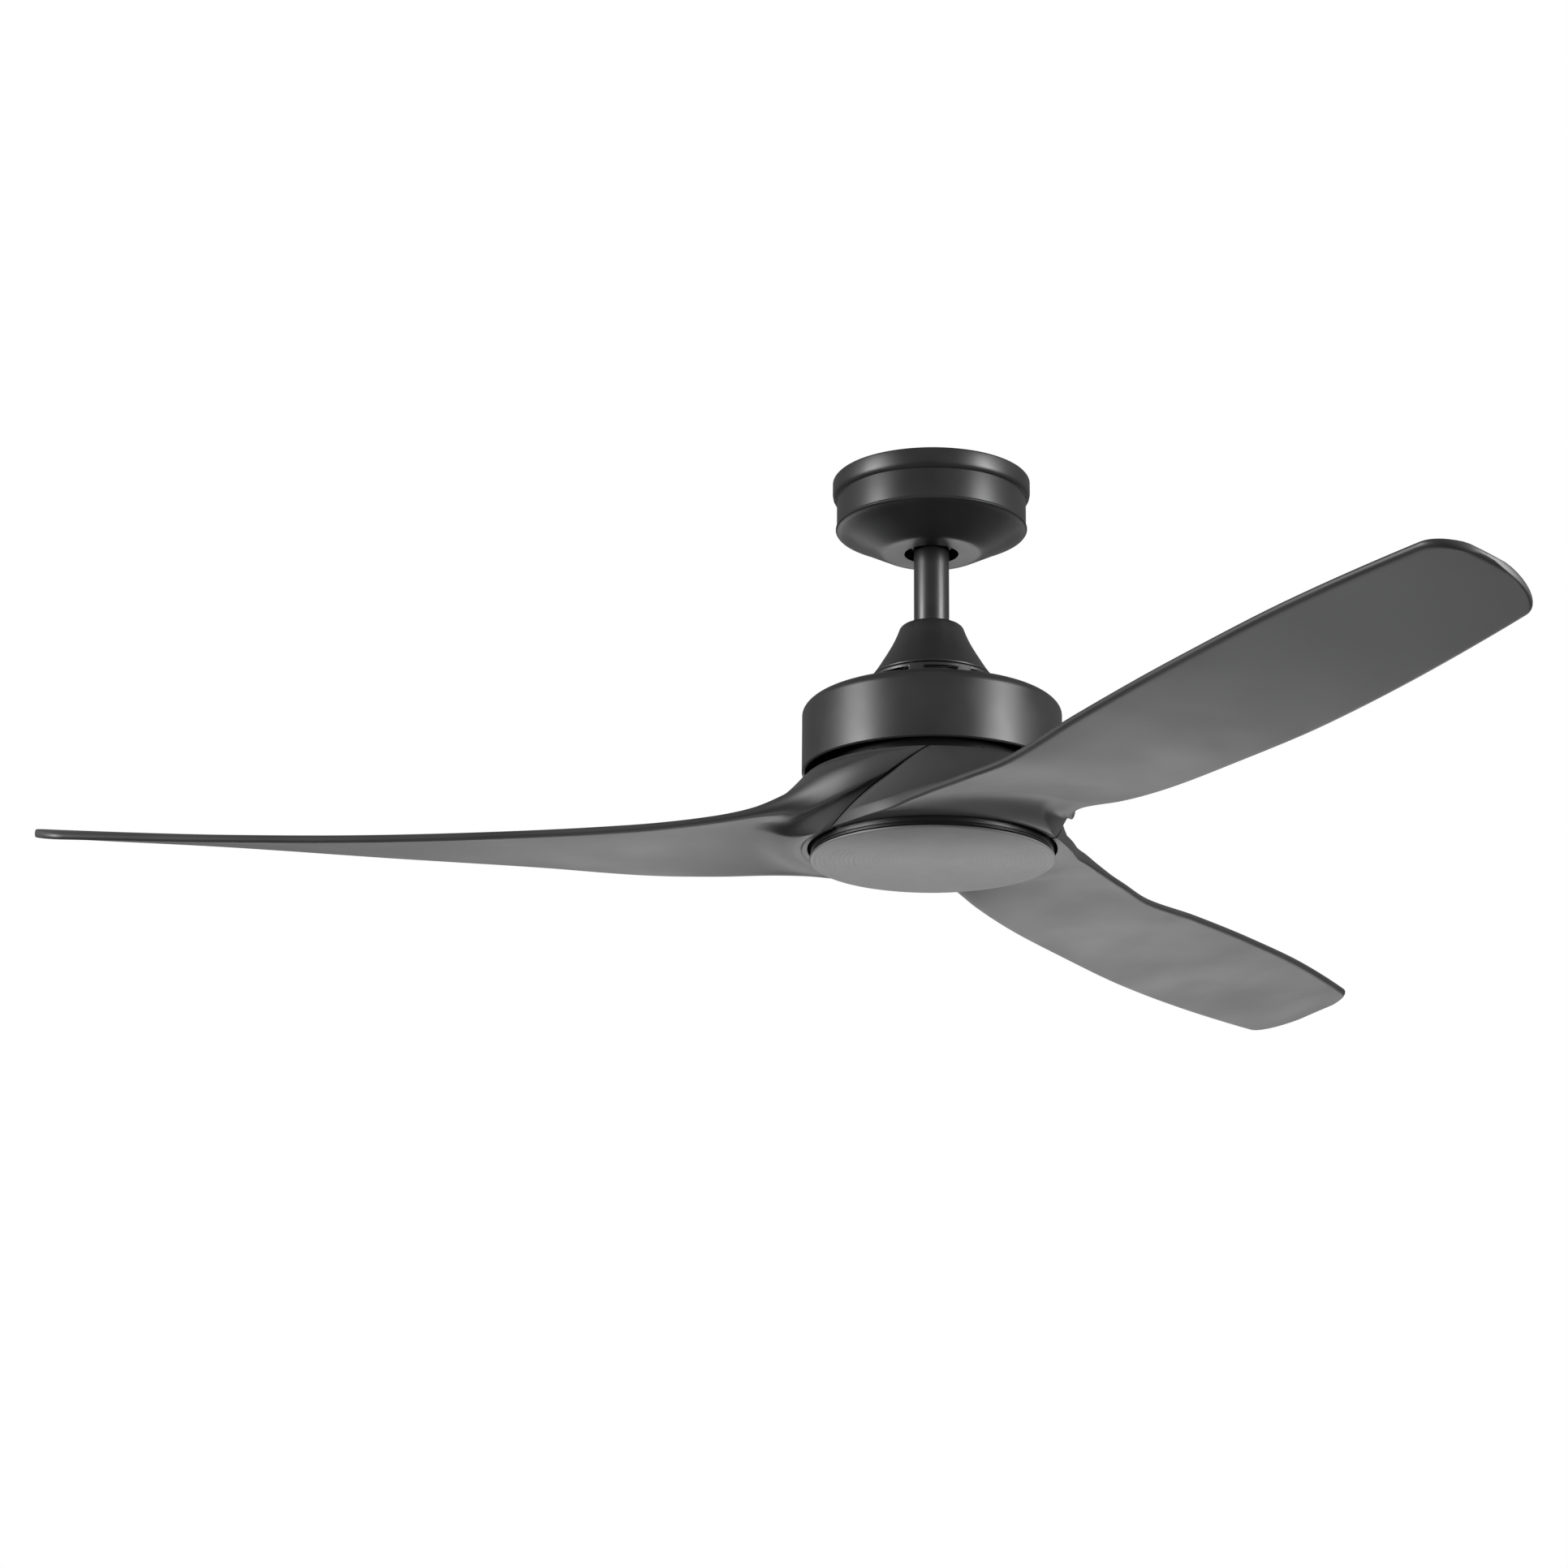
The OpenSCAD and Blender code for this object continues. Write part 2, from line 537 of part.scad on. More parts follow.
module pan_screws() color("#6a6a6a") lower() ring_of(3, 30) translate([20, 0, 0]) {
    translate([0, 0, pan_top]) cylinder(r = 2.8, h = 1.8);
    translate([0, 0, pan_top - 1.9]) cylinder(r = 1.55, h = 2);
}

sink_in_r = 28;
sink_out_r = 78;

module heat_sink() color("#b6b8ba") lower() translate([0, 0, pan_top - 2 - 3])
    tube(sink_out_r, sink_in_r, 2.95);

board_lo = pan_top - 6.7;

module led_board() color("ivory") lower() translate([0, 0, board_lo]) difference() {
    tube(sink_out_r - 2, sink_in_r + 2, 1.6);
    ring_of(3, 90) translate([53, 0, -1]) cylinder(r = 1.8, h = 4);
}

module led_chips() color("khaki") lower() for (r = [40, 66])
    ring_of(r == 40 ? 12 : 24, 7.5) translate([r - 1.75, -1.75, board_lo - 0.9]) cube([3.5, 3.5, 0.85]);

module led_screws() color("#a0a09c") lower() ring_of(3, 90) translate([53, 0, 0]) {
    translate([0, 0, board_lo - 1.7]) cylinder(r = 3, h = 1.7);
    translate([0, 0, board_lo - eps]) cylinder(r = 1.7, h = 1.6);
}

module light_cover() color(black) lower() {
    rotate_extrude() polygon([[0, 0], [cover_r - 0.9, 0], [cover_r - 0.3, 0.3], [cover_r, 0.9],
        [cover_r, 1.6], [cover_r - 0.4, 2], [ledge_in_r - 0.8, 2], [ledge_in_r - 0.8, 13.4],
        [ledge_in_r - 2.6, 13.4], [ledge_in_r - 2.6, 2], [0, 2]]);
    ring_of(3) rotate([0, 0, -lug_arc / 2]) rotate_extrude(angle = lug_arc)
        translate([ledge_in_r - 1, ledge_h + 2.2]) square([2.9, 2]);
}

hanger_bracket();
ground_screw();
canopy();
canopy_screws();
canopy_trim_ring();
receiver();
receiver_leads();
wire_connectors();
ball_cross_pin();
hanger_ball();
ball_set_screw();
downrod();
motor_lead();
motor_plug();
coupling();
clevis_pin();
clevis_clip();
coupling_set_screws();
coupling_cover();
motor_housing();
housing_screws();
motor_shaft();
shaft_nut();
stator_core();
stator_windings();
bearing_inner_rings();
bearing_outer_rings();
bearing_balls();
rotor_can();
rotor_magnets();
blade_hub();
hub_screws();
blade_screws();
blade_1();
blade_2();
blade_3();
light_pan();
pan_screws();
heat_sink();
led_board();
led_chips();
led_screws();
light_cover();
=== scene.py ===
"""Three-blade ceiling fan on a ball-and-downrod mount, finished round its CAD frame.

The frame's origin is on the ceiling plane at the rod's axis, +Z up. Lengths below are in millimetres
and heights are measured up from the light cover's face, unless a comment says otherwise.
"""
import json
from math import cos, pi, radians, sin, sqrt

import bmesh
import bpy
from mathutils import Matrix, Vector


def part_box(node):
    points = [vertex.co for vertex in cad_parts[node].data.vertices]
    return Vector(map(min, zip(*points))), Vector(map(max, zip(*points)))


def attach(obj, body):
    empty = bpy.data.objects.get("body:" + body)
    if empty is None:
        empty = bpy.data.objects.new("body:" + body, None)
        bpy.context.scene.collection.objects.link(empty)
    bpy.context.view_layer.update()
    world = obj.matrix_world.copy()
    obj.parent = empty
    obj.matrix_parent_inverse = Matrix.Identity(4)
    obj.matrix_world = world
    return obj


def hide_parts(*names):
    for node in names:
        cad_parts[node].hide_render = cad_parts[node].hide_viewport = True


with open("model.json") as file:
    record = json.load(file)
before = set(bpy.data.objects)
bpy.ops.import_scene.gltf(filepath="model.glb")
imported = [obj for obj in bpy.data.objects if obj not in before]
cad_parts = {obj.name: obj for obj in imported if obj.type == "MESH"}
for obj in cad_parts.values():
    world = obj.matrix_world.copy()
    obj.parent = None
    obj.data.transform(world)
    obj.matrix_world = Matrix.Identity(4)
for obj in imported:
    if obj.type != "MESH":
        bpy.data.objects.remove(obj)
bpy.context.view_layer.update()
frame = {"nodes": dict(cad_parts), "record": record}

MM = 0.001
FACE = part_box("light_cover")[0].z / MM
CANOPY_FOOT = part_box("canopy")[0].z / MM


# ---------------------------------------------------------------- camera

# The eye is in metres, and the angles in radians
EYE = Vector((0.1007, -2.7495, -1.0665))
LENS = 88.3
TURN, LIFT, ROLL = radians(4.40), radians(16.71), radians(0.49)


def aim_camera():
    camera = bpy.data.objects.new("camera", bpy.data.cameras.new("camera"))
    camera.data.lens = LENS
    camera.data.sensor_width = 36
    turn = Matrix.Rotation(TURN, 4, "Z")
    lift = Matrix.Rotation(pi / 2 + LIFT, 4, "X")
    camera.matrix_world = Matrix.Translation(EYE) @ turn @ lift @ Matrix.Rotation(ROLL, 4, "Z")
    bpy.context.scene.collection.objects.link(camera)
    bpy.context.scene.camera = camera


# ---------------------------------------------------------------- materials

# Nearly all of a noise pattern lies between these values
NOISE_LOW, NOISE_HIGH = 0.3, 0.7
# Upright bands of a wave pattern turn by this many radians over one unit of scaled height
WAVE_RATE = 20


def srgb(code):
    """A hex colour as linear red, green, blue and alpha."""
    parts = [int(code[i:i + 2], 16) / 255 for i in (1, 3, 5)]
    return [p / 12.92 if p <= 0.04045 else ((p + 0.055) / 1.055) ** 2.4 for p in parts] + [1.0]


def per(mm):
    """The texture scale whose grain is that many millimetres on object coordinates."""
    return 1 / (mm * MM)


def put(tree, kind, sockets=None, **settings):
    """Adds a node with its settings, fills or links the sockets given, and returns its outputs."""
    node = tree.nodes.new("ShaderNode" + kind)
    for name, value in settings.items():
        setattr(node, name, value)
    for name, value in (sockets or {}).items():
        if isinstance(value, bpy.types.NodeSocket):
            tree.links.new(value, node.inputs[name])
        else:
            node.inputs[name].default_value = value
    return node.outputs


def make_finish(finish):
    """A new material named after its finish, whose patterns lie on object coordinates."""
    material = bpy.data.materials.new(finish.__name__)
    material.use_nodes = True
    tree = material.node_tree
    tree.nodes.clear()
    place = put(tree, "TexCoord")["Object"]
    shader = put(tree, "BsdfPrincipled", finish(tree, place))
    put(tree, "OutputMaterial", {"Surface": shader["BSDF"]})
    return material


def satin_powder_coat(tree, place):
    """Black powder coat baked on spun steel: a satin sheen broken up by a fine orange peel."""
    peel = put(tree, "TexNoise", {"Vector": place, "Scale": per(1.1), "Detail": 3.0})["Fac"]
    patches = put(tree, "TexNoise", {"Vector": place, "Scale": per(45)})["Fac"]
    shade = put(tree, "MapRange", {"Value": patches, "From Min": NOISE_LOW, "From Max": NOISE_HIGH,
                                   "To Min": 0, "To Max": 1})["Result"]
    paint = put(tree, "Mix", {"Factor": shade, "A": srgb("#1d1d1e"), "B": srgb("#242425")},
                data_type="RGBA")["Result"]
    sheen = put(tree, "MapRange", {"Value": patches, "From Min": NOISE_LOW, "From Max": NOISE_HIGH,
                                   "To Min": 0.37, "To Max": 0.45})["Result"]
    bumps = put(tree, "Bump", {"Height": peel, "Strength": 0.25, "Distance": 0.06 * MM})["Normal"]
    return {"IOR": 1.5, "Metallic": 0.0, "Base Color": paint, "Roughness": sheen, "Normal": bumps}


def moulded_abs(tree, place):
    """Matt black ABS from a spark-eroded mould: a fine even grain with faint flow clouds."""
    fine = put(tree, "TexNoise", {"Vector": place, "Scale": per(0.9)})["Fac"]
    drawn_out = put(tree, "Mapping", {"Vector": place, "Scale": (1, 1, 0.3)})["Vector"]
    clouds = put(tree, "TexNoise", {"Vector": drawn_out, "Scale": per(70), "Detail": 3.0})["Fac"]
    shade = put(tree, "MapRange", {"Value": clouds, "From Min": NOISE_LOW, "From Max": NOISE_HIGH,
                                   "To Min": 0, "To Max": 1})["Result"]
    paint = put(tree, "Mix", {"Factor": shade, "A": srgb("#29292a"), "B": srgb("#313132")},
                data_type="RGBA")["Result"]
    sheen = put(tree, "MapRange", {"Value": clouds, "From Min": NOISE_LOW, "From Max": NOISE_HIGH,
                                   "To Min": 0.44, "To Max": 0.52})["Result"]
    # The grain is drawn three times coarser than the real 0.3 mm, so that it shows
    bumps = put(tree, "Bump", {"Height": fine, "Strength": 0.35, "Distance": 0.07 * MM})["Normal"]
    return {"IOR": 1.53, "Base Color": paint, "Roughness": sheen, "Normal": bumps}


def turned_cover_paint(tree, place):
    """Matt paint over a turned face: fine concentric rings round the centre, with bumps and a painted
    highlight.
    """
    flat = put(tree, "VectorMath", {0: place, 1: (1, 1, 0)}, operation="MULTIPLY")["Vector"]
    radius = put(tree, "VectorMath", {0: flat}, operation="LENGTH")["Value"]
    # Tool marks 3.6 mm apart, coarser than the real feed so that they show
    turns = put(tree, "Math", {0: radius, 1: 2 * pi * per(3.6)}, operation="MULTIPLY")["Value"]
    marks = put(tree, "Math", {0: turns}, operation="SINE")["Value"]
    fine = put(tree, "TexNoise", {"Vector": place, "Scale": per(0.8)})["Fac"]
    clouds = put(tree, "TexNoise", {"Vector": place, "Scale": per(30)})["Fac"]
    # Painted highlight: the colour is lighter on the rings' crests and darker between them, over random
    # clouds
    pattern = put(tree, "MapRange", {"Value": marks, "From Min": -1, "From Max": 1,
                                     "To Min": 0.2, "To Max": 0.5})["Result"]
    clouds_and_painted_ring_shine = put(tree, "Math", {0: clouds, 1: pattern})["Value"]
    height = put(tree, "Math", {0: marks, 1: 0.35, 2: fine}, operation="MULTIPLY_ADD")["Value"]
    paint = put(tree, "Mix", {"Factor": clouds_and_painted_ring_shine, "A": srgb("#525253"), "B": srgb("#6a6a6b")},
                data_type="RGBA")["Result"]
    sheen = put(tree, "MapRange", {"Value": marks, "From Min": -1, "From Max": 1,
                                   "To Min": 0.44, "To Max": 0.5})["Result"]
    bumps = put(tree, "Bump", {"Height": height, "Strength": 0.7, "Distance": 0.12 * MM})["Normal"]
    return {"IOR": 1.5, "Base Color": paint, "Roughness": sheen, "Normal": bumps}


def zinc_plate(tree, place):
    """Zinc plate on pressed steel: pale grey, slightly cloudy, with rolling marks."""
    clouds = put(tree, "TexNoise", {"Vector": place, "Scale": per(9), "Detail": 4.0})["Fac"]
    paint = put(tree, "Mix", {"Factor": clouds, "A": srgb("#9fa3a6"), "B": srgb("#c9cccd")},
                data_type="RGBA")["Result"]
    sheen = put(tree, "MapRange", {"Value": clouds, "From Min": NOISE_LOW, "From Max": NOISE_HIGH,
                                   "To Min": 0.28, "To Max": 0.48})["Result"]
    drawn_out = put(tree, "Mapping", {"Vector": place, "Scale": (0.15, 1, 1)})["Vector"]
    texture = put(tree, "TexNoise", {"Vector": drawn_out, "Scale": per(0.8)})["Fac"]
    bumps = put(tree, "Bump", {"Height": texture, "Strength": 0.3, "Distance": 0.05 * MM})["Normal"]
    return {"Metallic": 1.0, "Base Color": paint, "Roughness": sheen, "Normal": bumps}


def green_lacquer(tree, place):
    """Green lacquer on the earthing screw: glossy, thinner over the edges."""
    shade = put(tree, "TexNoise", {"Vector": place, "Scale": per(2.5)})["Fac"]
    paint = put(tree, "Mix", {"Factor": shade, "A": srgb("#1f6b3a"), "B": srgb("#3c9156")},
                data_type="RGBA")["Result"]
    texture = put(tree, "TexNoise", {"Vector": place, "Scale": per(1.2)})["Fac"]
    bumps = put(tree, "Bump", {"Height": texture, "Strength": 0.2, "Distance": 0.05 * MM})["Normal"]
    return {"IOR": 1.5, "Roughness": 0.28, "Base Color": paint, "Normal": bumps}


def black_oxide(tree, place):
    """Black oxide on screw steel: dark, a little blue, with an oily sheen."""
    patches = put(tree, "TexNoise", {"Vector": place, "Scale": per(2.2), "Detail": 3.0})["Fac"]
    paint = put(tree, "Mix", {"Factor": patches, "A": srgb("#26272a"), "B": srgb("#3a3b40")},
                data_type="RGBA")["Result"]
    sheen = put(tree, "MapRange", {"Value": patches, "From Min": NOISE_LOW, "From Max": NOISE_HIGH,
                                   "To Min": 0.32, "To Max": 0.5})["Result"]
    texture = put(tree, "TexNoise", {"Vector": place, "Scale": per(0.7)})["Fac"]
    bumps = put(tree, "Bump", {"Height": texture, "Strength": 0.2, "Distance": 0.04 * MM})["Normal"]
    return {"Metallic": 1.0, "Base Color": paint, "Roughness": sheen, "Normal": bumps}


def dark_nylon(tree, place):
    """Glass-filled nylon: near black, matt, with short fibres just under the skin."""
    drawn_out = put(tree, "Mapping", {"Vector": place, "Scale": (1, 0.3, 1)})["Vector"]
    # Fibres drawn several times coarser than the real ones, so that they show
    fibres = put(tree, "TexNoise", {"Vector": drawn_out, "Scale": per(1.5), "Detail": 4.0})["Fac"]
    paint = put(tree, "Mix", {"Factor": fibres, "A": srgb("#1c1e20"), "B": srgb("#292c2e")},
                data_type="RGBA")["Result"]
    sheen = put(tree, "MapRange", {"Value": fibres, "From Min": NOISE_LOW, "From Max": NOISE_HIGH,
                                   "To Min": 0.48, "To Max": 0.6})["Result"]
    bumps = put(tree, "Bump", {"Height": fibres, "Strength": 0.3, "Distance": 0.06 * MM})["Normal"]
    return {"IOR": 1.53, "Base Color": paint, "Roughness": sheen, "Normal": bumps}


def pvc_sleeve(tree, place):
    """PVC wire sleeving: soft dark grey with a waxy sheen and faint extrusion lines."""
    drawn_out = put(tree, "Mapping", {"Vector": place, "Scale": (1, 1, 0.1)})["Vector"]
    lines = put(tree, "TexNoise", {"Vector": drawn_out, "Scale": per(0.9)})["Fac"]
    shade = put(tree, "TexNoise", {"Vector": place, "Scale": per(12)})["Fac"]
    paint = put(tree, "Mix", {"Factor": shade, "A": srgb("#2b2b2e"), "B": srgb("#38383c")},
                data_type="RGBA")["Result"]
    sheen = put(tree, "MapRange", {"Value": lines, "From Min": NOISE_LOW, "From Max": NOISE_HIGH,
                                   "To Min": 0.34, "To Max": 0.46})["Result"]
    bumps = put(tree, "Bump", {"Height": lines, "Strength": 0.2, "Distance": 0.05 * MM})["Normal"]
    return {"IOR": 1.54, "Base Color": paint, "Roughness": sheen, "Normal": bumps}


def orange_polypropylene(tree, place):
    """Polypropylene wire connectors: bright orange, soft gloss, slightly waxy."""
    shade = put(tree, "TexNoise", {"Vector": place, "Scale": per(4)})["Fac"]
    paint = put(tree, "Mix", {"Factor": shade, "A": srgb("#c56f22"), "B": srgb("#dd8a34")},
                data_type="RGBA")["Result"]
    drawn_out = put(tree, "Mapping", {"Vector": place, "Scale": (1, 1, 0.1)})["Vector"]
    texture = put(tree, "TexNoise", {"Vector": drawn_out, "Scale": per(1.2)})["Fac"]
    bumps = put(tree, "Bump", {"Height": texture, "Strength": 0.35, "Distance": 0.12 * MM})["Normal"]
    return {"IOR": 1.49, "Roughness": 0.34, "Subsurface Weight": 0.08, "Base Color": paint,
            "Normal": bumps}


def ivory_nylon(tree, place):
    """Unpigmented nylon: warm ivory, faintly translucent, smooth."""
    shade = put(tree, "TexNoise", {"Vector": place, "Scale": per(7)})["Fac"]
    paint = put(tree, "Mix", {"Factor": shade, "A": srgb("#ddd4b8"), "B": srgb("#ece5cf")},
                data_type="RGBA")["Result"]
    texture = put(tree, "TexNoise", {"Vector": place, "Scale": per(0.9)})["Fac"]
    bumps = put(tree, "Bump", {"Height": texture, "Strength": 0.15, "Distance": 0.04 * MM})["Normal"]
    return {"IOR": 1.53, "Roughness": 0.36, "Subsurface Weight": 0.1, "Base Color": paint,
            "Normal": bumps}


def ground_steel(tree, place):
    """Ground bearing steel: bright, with fine grinding lines round the part."""
    drawn_out = put(tree, "Mapping", {"Vector": place, "Scale": (0.1, 0.1, 1)})["Vector"]
    # Grinding lines drawn much wider than the real ones, so that they show
    lines = put(tree, "TexNoise", {"Vector": drawn_out, "Scale": per(0.6), "Detail": 3.0})["Fac"]
    paint = put(tree, "Mix", {"Factor": lines, "A": srgb("#b4b6b8"), "B": srgb("#d2d3d4")},
                data_type="RGBA")["Result"]
    sheen = put(tree, "MapRange", {"Value": lines, "From Min": NOISE_LOW, "From Max": NOISE_HIGH,
                                   "To Min": 0.16, "To Max": 0.28})["Result"]
    bumps = put(tree, "Bump", {"Height": lines, "Strength": 0.15, "Distance": 0.03 * MM})["Normal"]
    return {"Metallic": 1.0, "Base Color": paint, "Roughness": sheen, "Normal": bumps}


def cast_alloy(tree, place):
    """Die-cast aluminium alloy: dull grey with a pebbled casting skin."""
    skin = put(tree, "TexNoise", {"Vector": place, "Scale": per(1.6), "Detail": 4.0})["Fac"]
    shade = put(tree, "TexNoise", {"Vector": place, "Scale": per(14)})["Fac"]
    paint = put(tree, "Mix", {"Factor": shade, "A": srgb("#85888b"), "B": srgb("#9fa2a4")},
                data_type="RGBA")["Result"]
    sheen = put(tree, "MapRange", {"Value": skin, "From Min": NOISE_LOW, "From Max": NOISE_HIGH,
                                   "To Min": 0.45, "To Max": 0.62})["Result"]
    bumps = put(tree, "Bump", {"Height": skin, "Strength": 0.4, "Distance": 0.1 * MM})["Normal"]
    return {"Metallic": 1.0, "Base Color": paint, "Roughness": sheen, "Normal": bumps}


def lamination_stack(tree, place):
    """Silicon steel laminations, stacked flat: thin dark lines between blue-grey sheets."""
    # Sheets drawn 6.3 mm thick, far coarser than the real 0.5 mm, so that they show
    sheets = put(tree, "TexWave", {"Vector": place, "Scale": per(1.0) / WAVE_RATE, "Distortion": 0.0},
                 bands_direction="Z", wave_profile="SAW")["Fac"]
    paint = put(tree, "Mix", {"Factor": sheets, "A": srgb("#54575c"), "B": srgb("#7c7f85")},
                data_type="RGBA")["Result"]
    bumps = put(tree, "Bump", {"Height": sheets, "Strength": 0.5, "Distance": 0.1 * MM})["Normal"]
    return {"Metallic": 1.0, "Roughness": 0.45, "Base Color": paint, "Normal": bumps}


def enamelled_copper(tree, place):
    """Enamelled copper wire wound side by side: red-brown, glossy, ribbed by the turns."""
    # Turns drawn 6.5 mm apart, far coarser than the real 0.5 mm wire, so that they show
    turns = put(tree, "TexWave", {"Vector": place, "Scale": per(0.9) / WAVE_RATE, "Distortion": 0.0},
                bands_direction="DIAGONAL", wave_profile="SIN")["Fac"]
    # Painted shade: the colour darkens in the grooves between turns and is lighter on their crests
    paint = put(tree, "Mix", {"Factor": turns, "A": srgb("#7d3a1c"), "B": srgb("#b9683a")},
                data_type="RGBA")["Result"]
    bumps = put(tree, "Bump", {"Height": turns, "Strength": 0.6, "Distance": 0.25 * MM})["Normal"]
    return {"Metallic": 1.0, "Roughness": 0.28, "Coat Weight": 0.4, "Base Color": paint,
            "Normal": bumps}


def sintered_ferrite(tree, place):
    """Sintered ferrite magnets: charcoal ceramic, dry, with ground faces."""
    # Pores drawn much coarser than the real ones, so that they show
    pores = put(tree, "TexNoise", {"Vector": place, "Scale": per(0.8), "Detail": 4.0})["Fac"]
    paint = put(tree, "Mix", {"Factor": pores, "A": srgb("#2f3033"), "B": srgb("#45464a")},
                data_type="RGBA")["Result"]
    sheen = put(tree, "MapRange", {"Value": pores, "From Min": NOISE_LOW, "From Max": NOISE_HIGH,
                                   "To Min": 0.6, "To Max": 0.8})["Result"]
    bumps = put(tree, "Bump", {"Height": pores, "Strength": 0.3, "Distance": 0.06 * MM})["Normal"]
    return {"IOR": 1.9, "Base Color": paint, "Roughness": sheen, "Normal": bumps}


def rolled_aluminium(tree, place):
    """Rolled aluminium plate: pale, with long straight rolling lines."""
    drawn_out = put(tree, "Mapping", {"Vector": place, "Scale": (0.04, 1, 1)})["Vector"]
    # Rolling lines drawn wider than the real ones, so that they show
    lines = put(tree, "TexNoise", {"Vector": drawn_out, "Scale": per(0.8), "Detail": 3.0})["Fac"]
    paint = put(tree, "Mix", {"Factor": lines, "A": srgb("#b0b3b6"), "B": srgb("#cdd0d2")},
                data_type="RGBA")["Result"]
    sheen = put(tree, "MapRange", {"Value": lines, "From Min": NOISE_LOW, "From Max": NOISE_HIGH,
                                   "To Min": 0.3, "To Max": 0.45})["Result"]
    bumps = put(tree, "Bump", {"Height": lines, "Strength": 0.2, "Distance": 0.04 * MM})["Normal"]
    return {"Metallic": 1.0, "Base Color": paint, "Roughness": sheen, "Normal": bumps}


def led_phosphor(tree, place):
    """Silicone loaded with yellow phosphor over each diode: soft yellow, faintly grainy."""
    # Specks drawn much coarser than the real powder, so that they show
    specks = put(tree, "TexNoise", {"Vector": place, "Scale": per(0.5), "Detail": 3.0})["Fac"]
    paint = put(tree, "Mix", {"Factor": specks, "A": srgb("#d9b93a"), "B": srgb("#f0dc72")},
                data_type="RGBA")["Result"]
    bumps = put(tree, "Bump", {"Height": specks, "Strength": 0.2, "Distance": 0.04 * MM})["Normal"]
    return {"IOR": 1.41, "Roughness": 0.3, "Subsurface Weight": 0.15, "Base Color": paint,
            "Normal": bumps}


FINISHES = {
    "black_paint": satin_powder_coat, "blade_plastic": moulded_abs, "cover_finish": turned_cover_paint,
    "zinc_steel": zinc_plate, "green_screw": green_lacquer, "black_screw": black_oxide,
    "dark_plastic": dark_nylon, "wire_sleeve": pvc_sleeve, "orange_plastic": orange_polypropylene,
    "ivory_plastic": ivory_nylon, "bright_steel": ground_steel, "cast_alloy": cast_alloy,
    "lamination_steel": lamination_stack, "enamelled_copper": enamelled_copper,
    "ferrite": sintered_ferrite, "raw_aluminium": rolled_aluminium, "led_phosphor": led_phosphor,
}


# ---------------------------------------------------------------- modelling helpers

# Corners that turn by more degrees than this are edges
SHARP = 35
# Points closer than this, in metres, are one
WELD = 1e-6


def only(piece):
    """Leaves this piece selected and active, and nothing else."""
    bpy.ops.object.select_all(action="DESELECT")
    piece.select_set(True)
    bpy.context.view_layer.objects.active = piece


def new_piece(name):
    piece = bpy.context.object
    piece.name = piece.data.name = name
    return piece


def turned(name, outline, sides=192, capped=False):
    """Turns an outline of (radius, height) points: a circle, extruded and resized point by point.
    A capped shape is closed across the axis at both ends, and any other is a closed loop."""
    bpy.ops.object.select_all(action="DESELECT")
    points = [(r * MM, h * MM) for r, h in outline]
    radius, height = points[0]
    bpy.ops.mesh.primitive_circle_add(vertices=sides, radius=radius, location=(0, 0, height),
                                      fill_type="TRIFAN" if capped else "NOTHING")
    piece = new_piece(name)
    bpy.ops.object.transform_apply()
    bpy.ops.object.mode_set(mode="EDIT")
    if capped:
        bpy.ops.mesh.select_all(action="SELECT")
        bpy.ops.mesh.region_to_loop()
    for next_radius, next_height in points[1:] + ([] if capped else points[:1]):
        bpy.ops.mesh.extrude_region()
        ratio = next_radius / radius
        bpy.ops.transform.resize(value=(ratio, ratio, 1), center_override=(0, 0, 0))
        bpy.ops.transform.translate(value=(0, 0, next_height - height))
        radius, height = next_radius, next_height
    if capped:
        bpy.ops.mesh.edge_face_add()
        bpy.ops.mesh.poke()
    bpy.ops.mesh.select_all(action="SELECT")
    bpy.ops.mesh.remove_doubles(threshold=WELD)
    bpy.ops.mesh.normals_make_consistent(inside=False)
    bpy.ops.object.mode_set(mode="OBJECT")
    return piece


def arc_block(name, r_in, r_out, low, high, arc, middle):
    """A block swept round the axis: a rectangle spun through arc degrees about middle."""
    bpy.ops.object.select_all(action="DESELECT")
    bpy.ops.mesh.primitive_plane_add(size=1, location=(0, 0, 0))
    piece = new_piece(name)
    bpy.ops.object.mode_set(mode="EDIT")
    bpy.ops.transform.resize(value=((r_out - r_in) * MM, (high - low) * MM, 1))
    bpy.ops.object.mode_set(mode="OBJECT")
    start = Matrix.Rotation(radians(middle - arc / 2), 4, "Z")
    stand = Matrix.Translation(((r_in + r_out) / 2 * MM, 0, (low + high) / 2 * MM))
    piece.data.transform(start @ stand @ Matrix.Rotation(pi / 2, 4, "X"))
    bpy.ops.object.mode_set(mode="EDIT")
    bpy.ops.mesh.select_all(action="SELECT")
    bpy.ops.mesh.spin(steps=10, angle=radians(arc), center=(0, 0, 0), axis=(0, 0, 1))
    bpy.ops.mesh.select_all(action="SELECT")
    bpy.ops.mesh.remove_doubles(threshold=WELD)
    bpy.ops.mesh.normals_make_consistent(inside=False)
    bpy.ops.object.mode_set(mode="OBJECT")
    return piece


def rod_cutter(radius, length, height):
    """A cylinder across the axis at that height, for cutting a cross hole."""
    bpy.ops.object.select_all(action="DESELECT")
    bpy.ops.mesh.primitive_cylinder_add(vertices=48, radius=radius * MM, depth=length * MM)
    cutter = new_piece("cutter")
    cutter.data.transform(Matrix.Translation((0, 0, height * MM)) @ Matrix.Rotation(pi / 2, 4, "Y"))
    return cutter


def apply_modifier(piece, kind, **settings):
    only(piece)
    modifier = piece.modifiers.new(kind.lower(), kind)
    for name, value in settings.items():
        setattr(modifier, name, value)
    bpy.ops.object.modifier_apply(modifier=modifier.name)


def cut(piece, cutters):
    for cutter in cutters:
        apply_modifier(piece, "BOOLEAN", operation="DIFFERENCE", solver="EXACT", object=cutter)
        bpy.data.objects.remove(cutter)


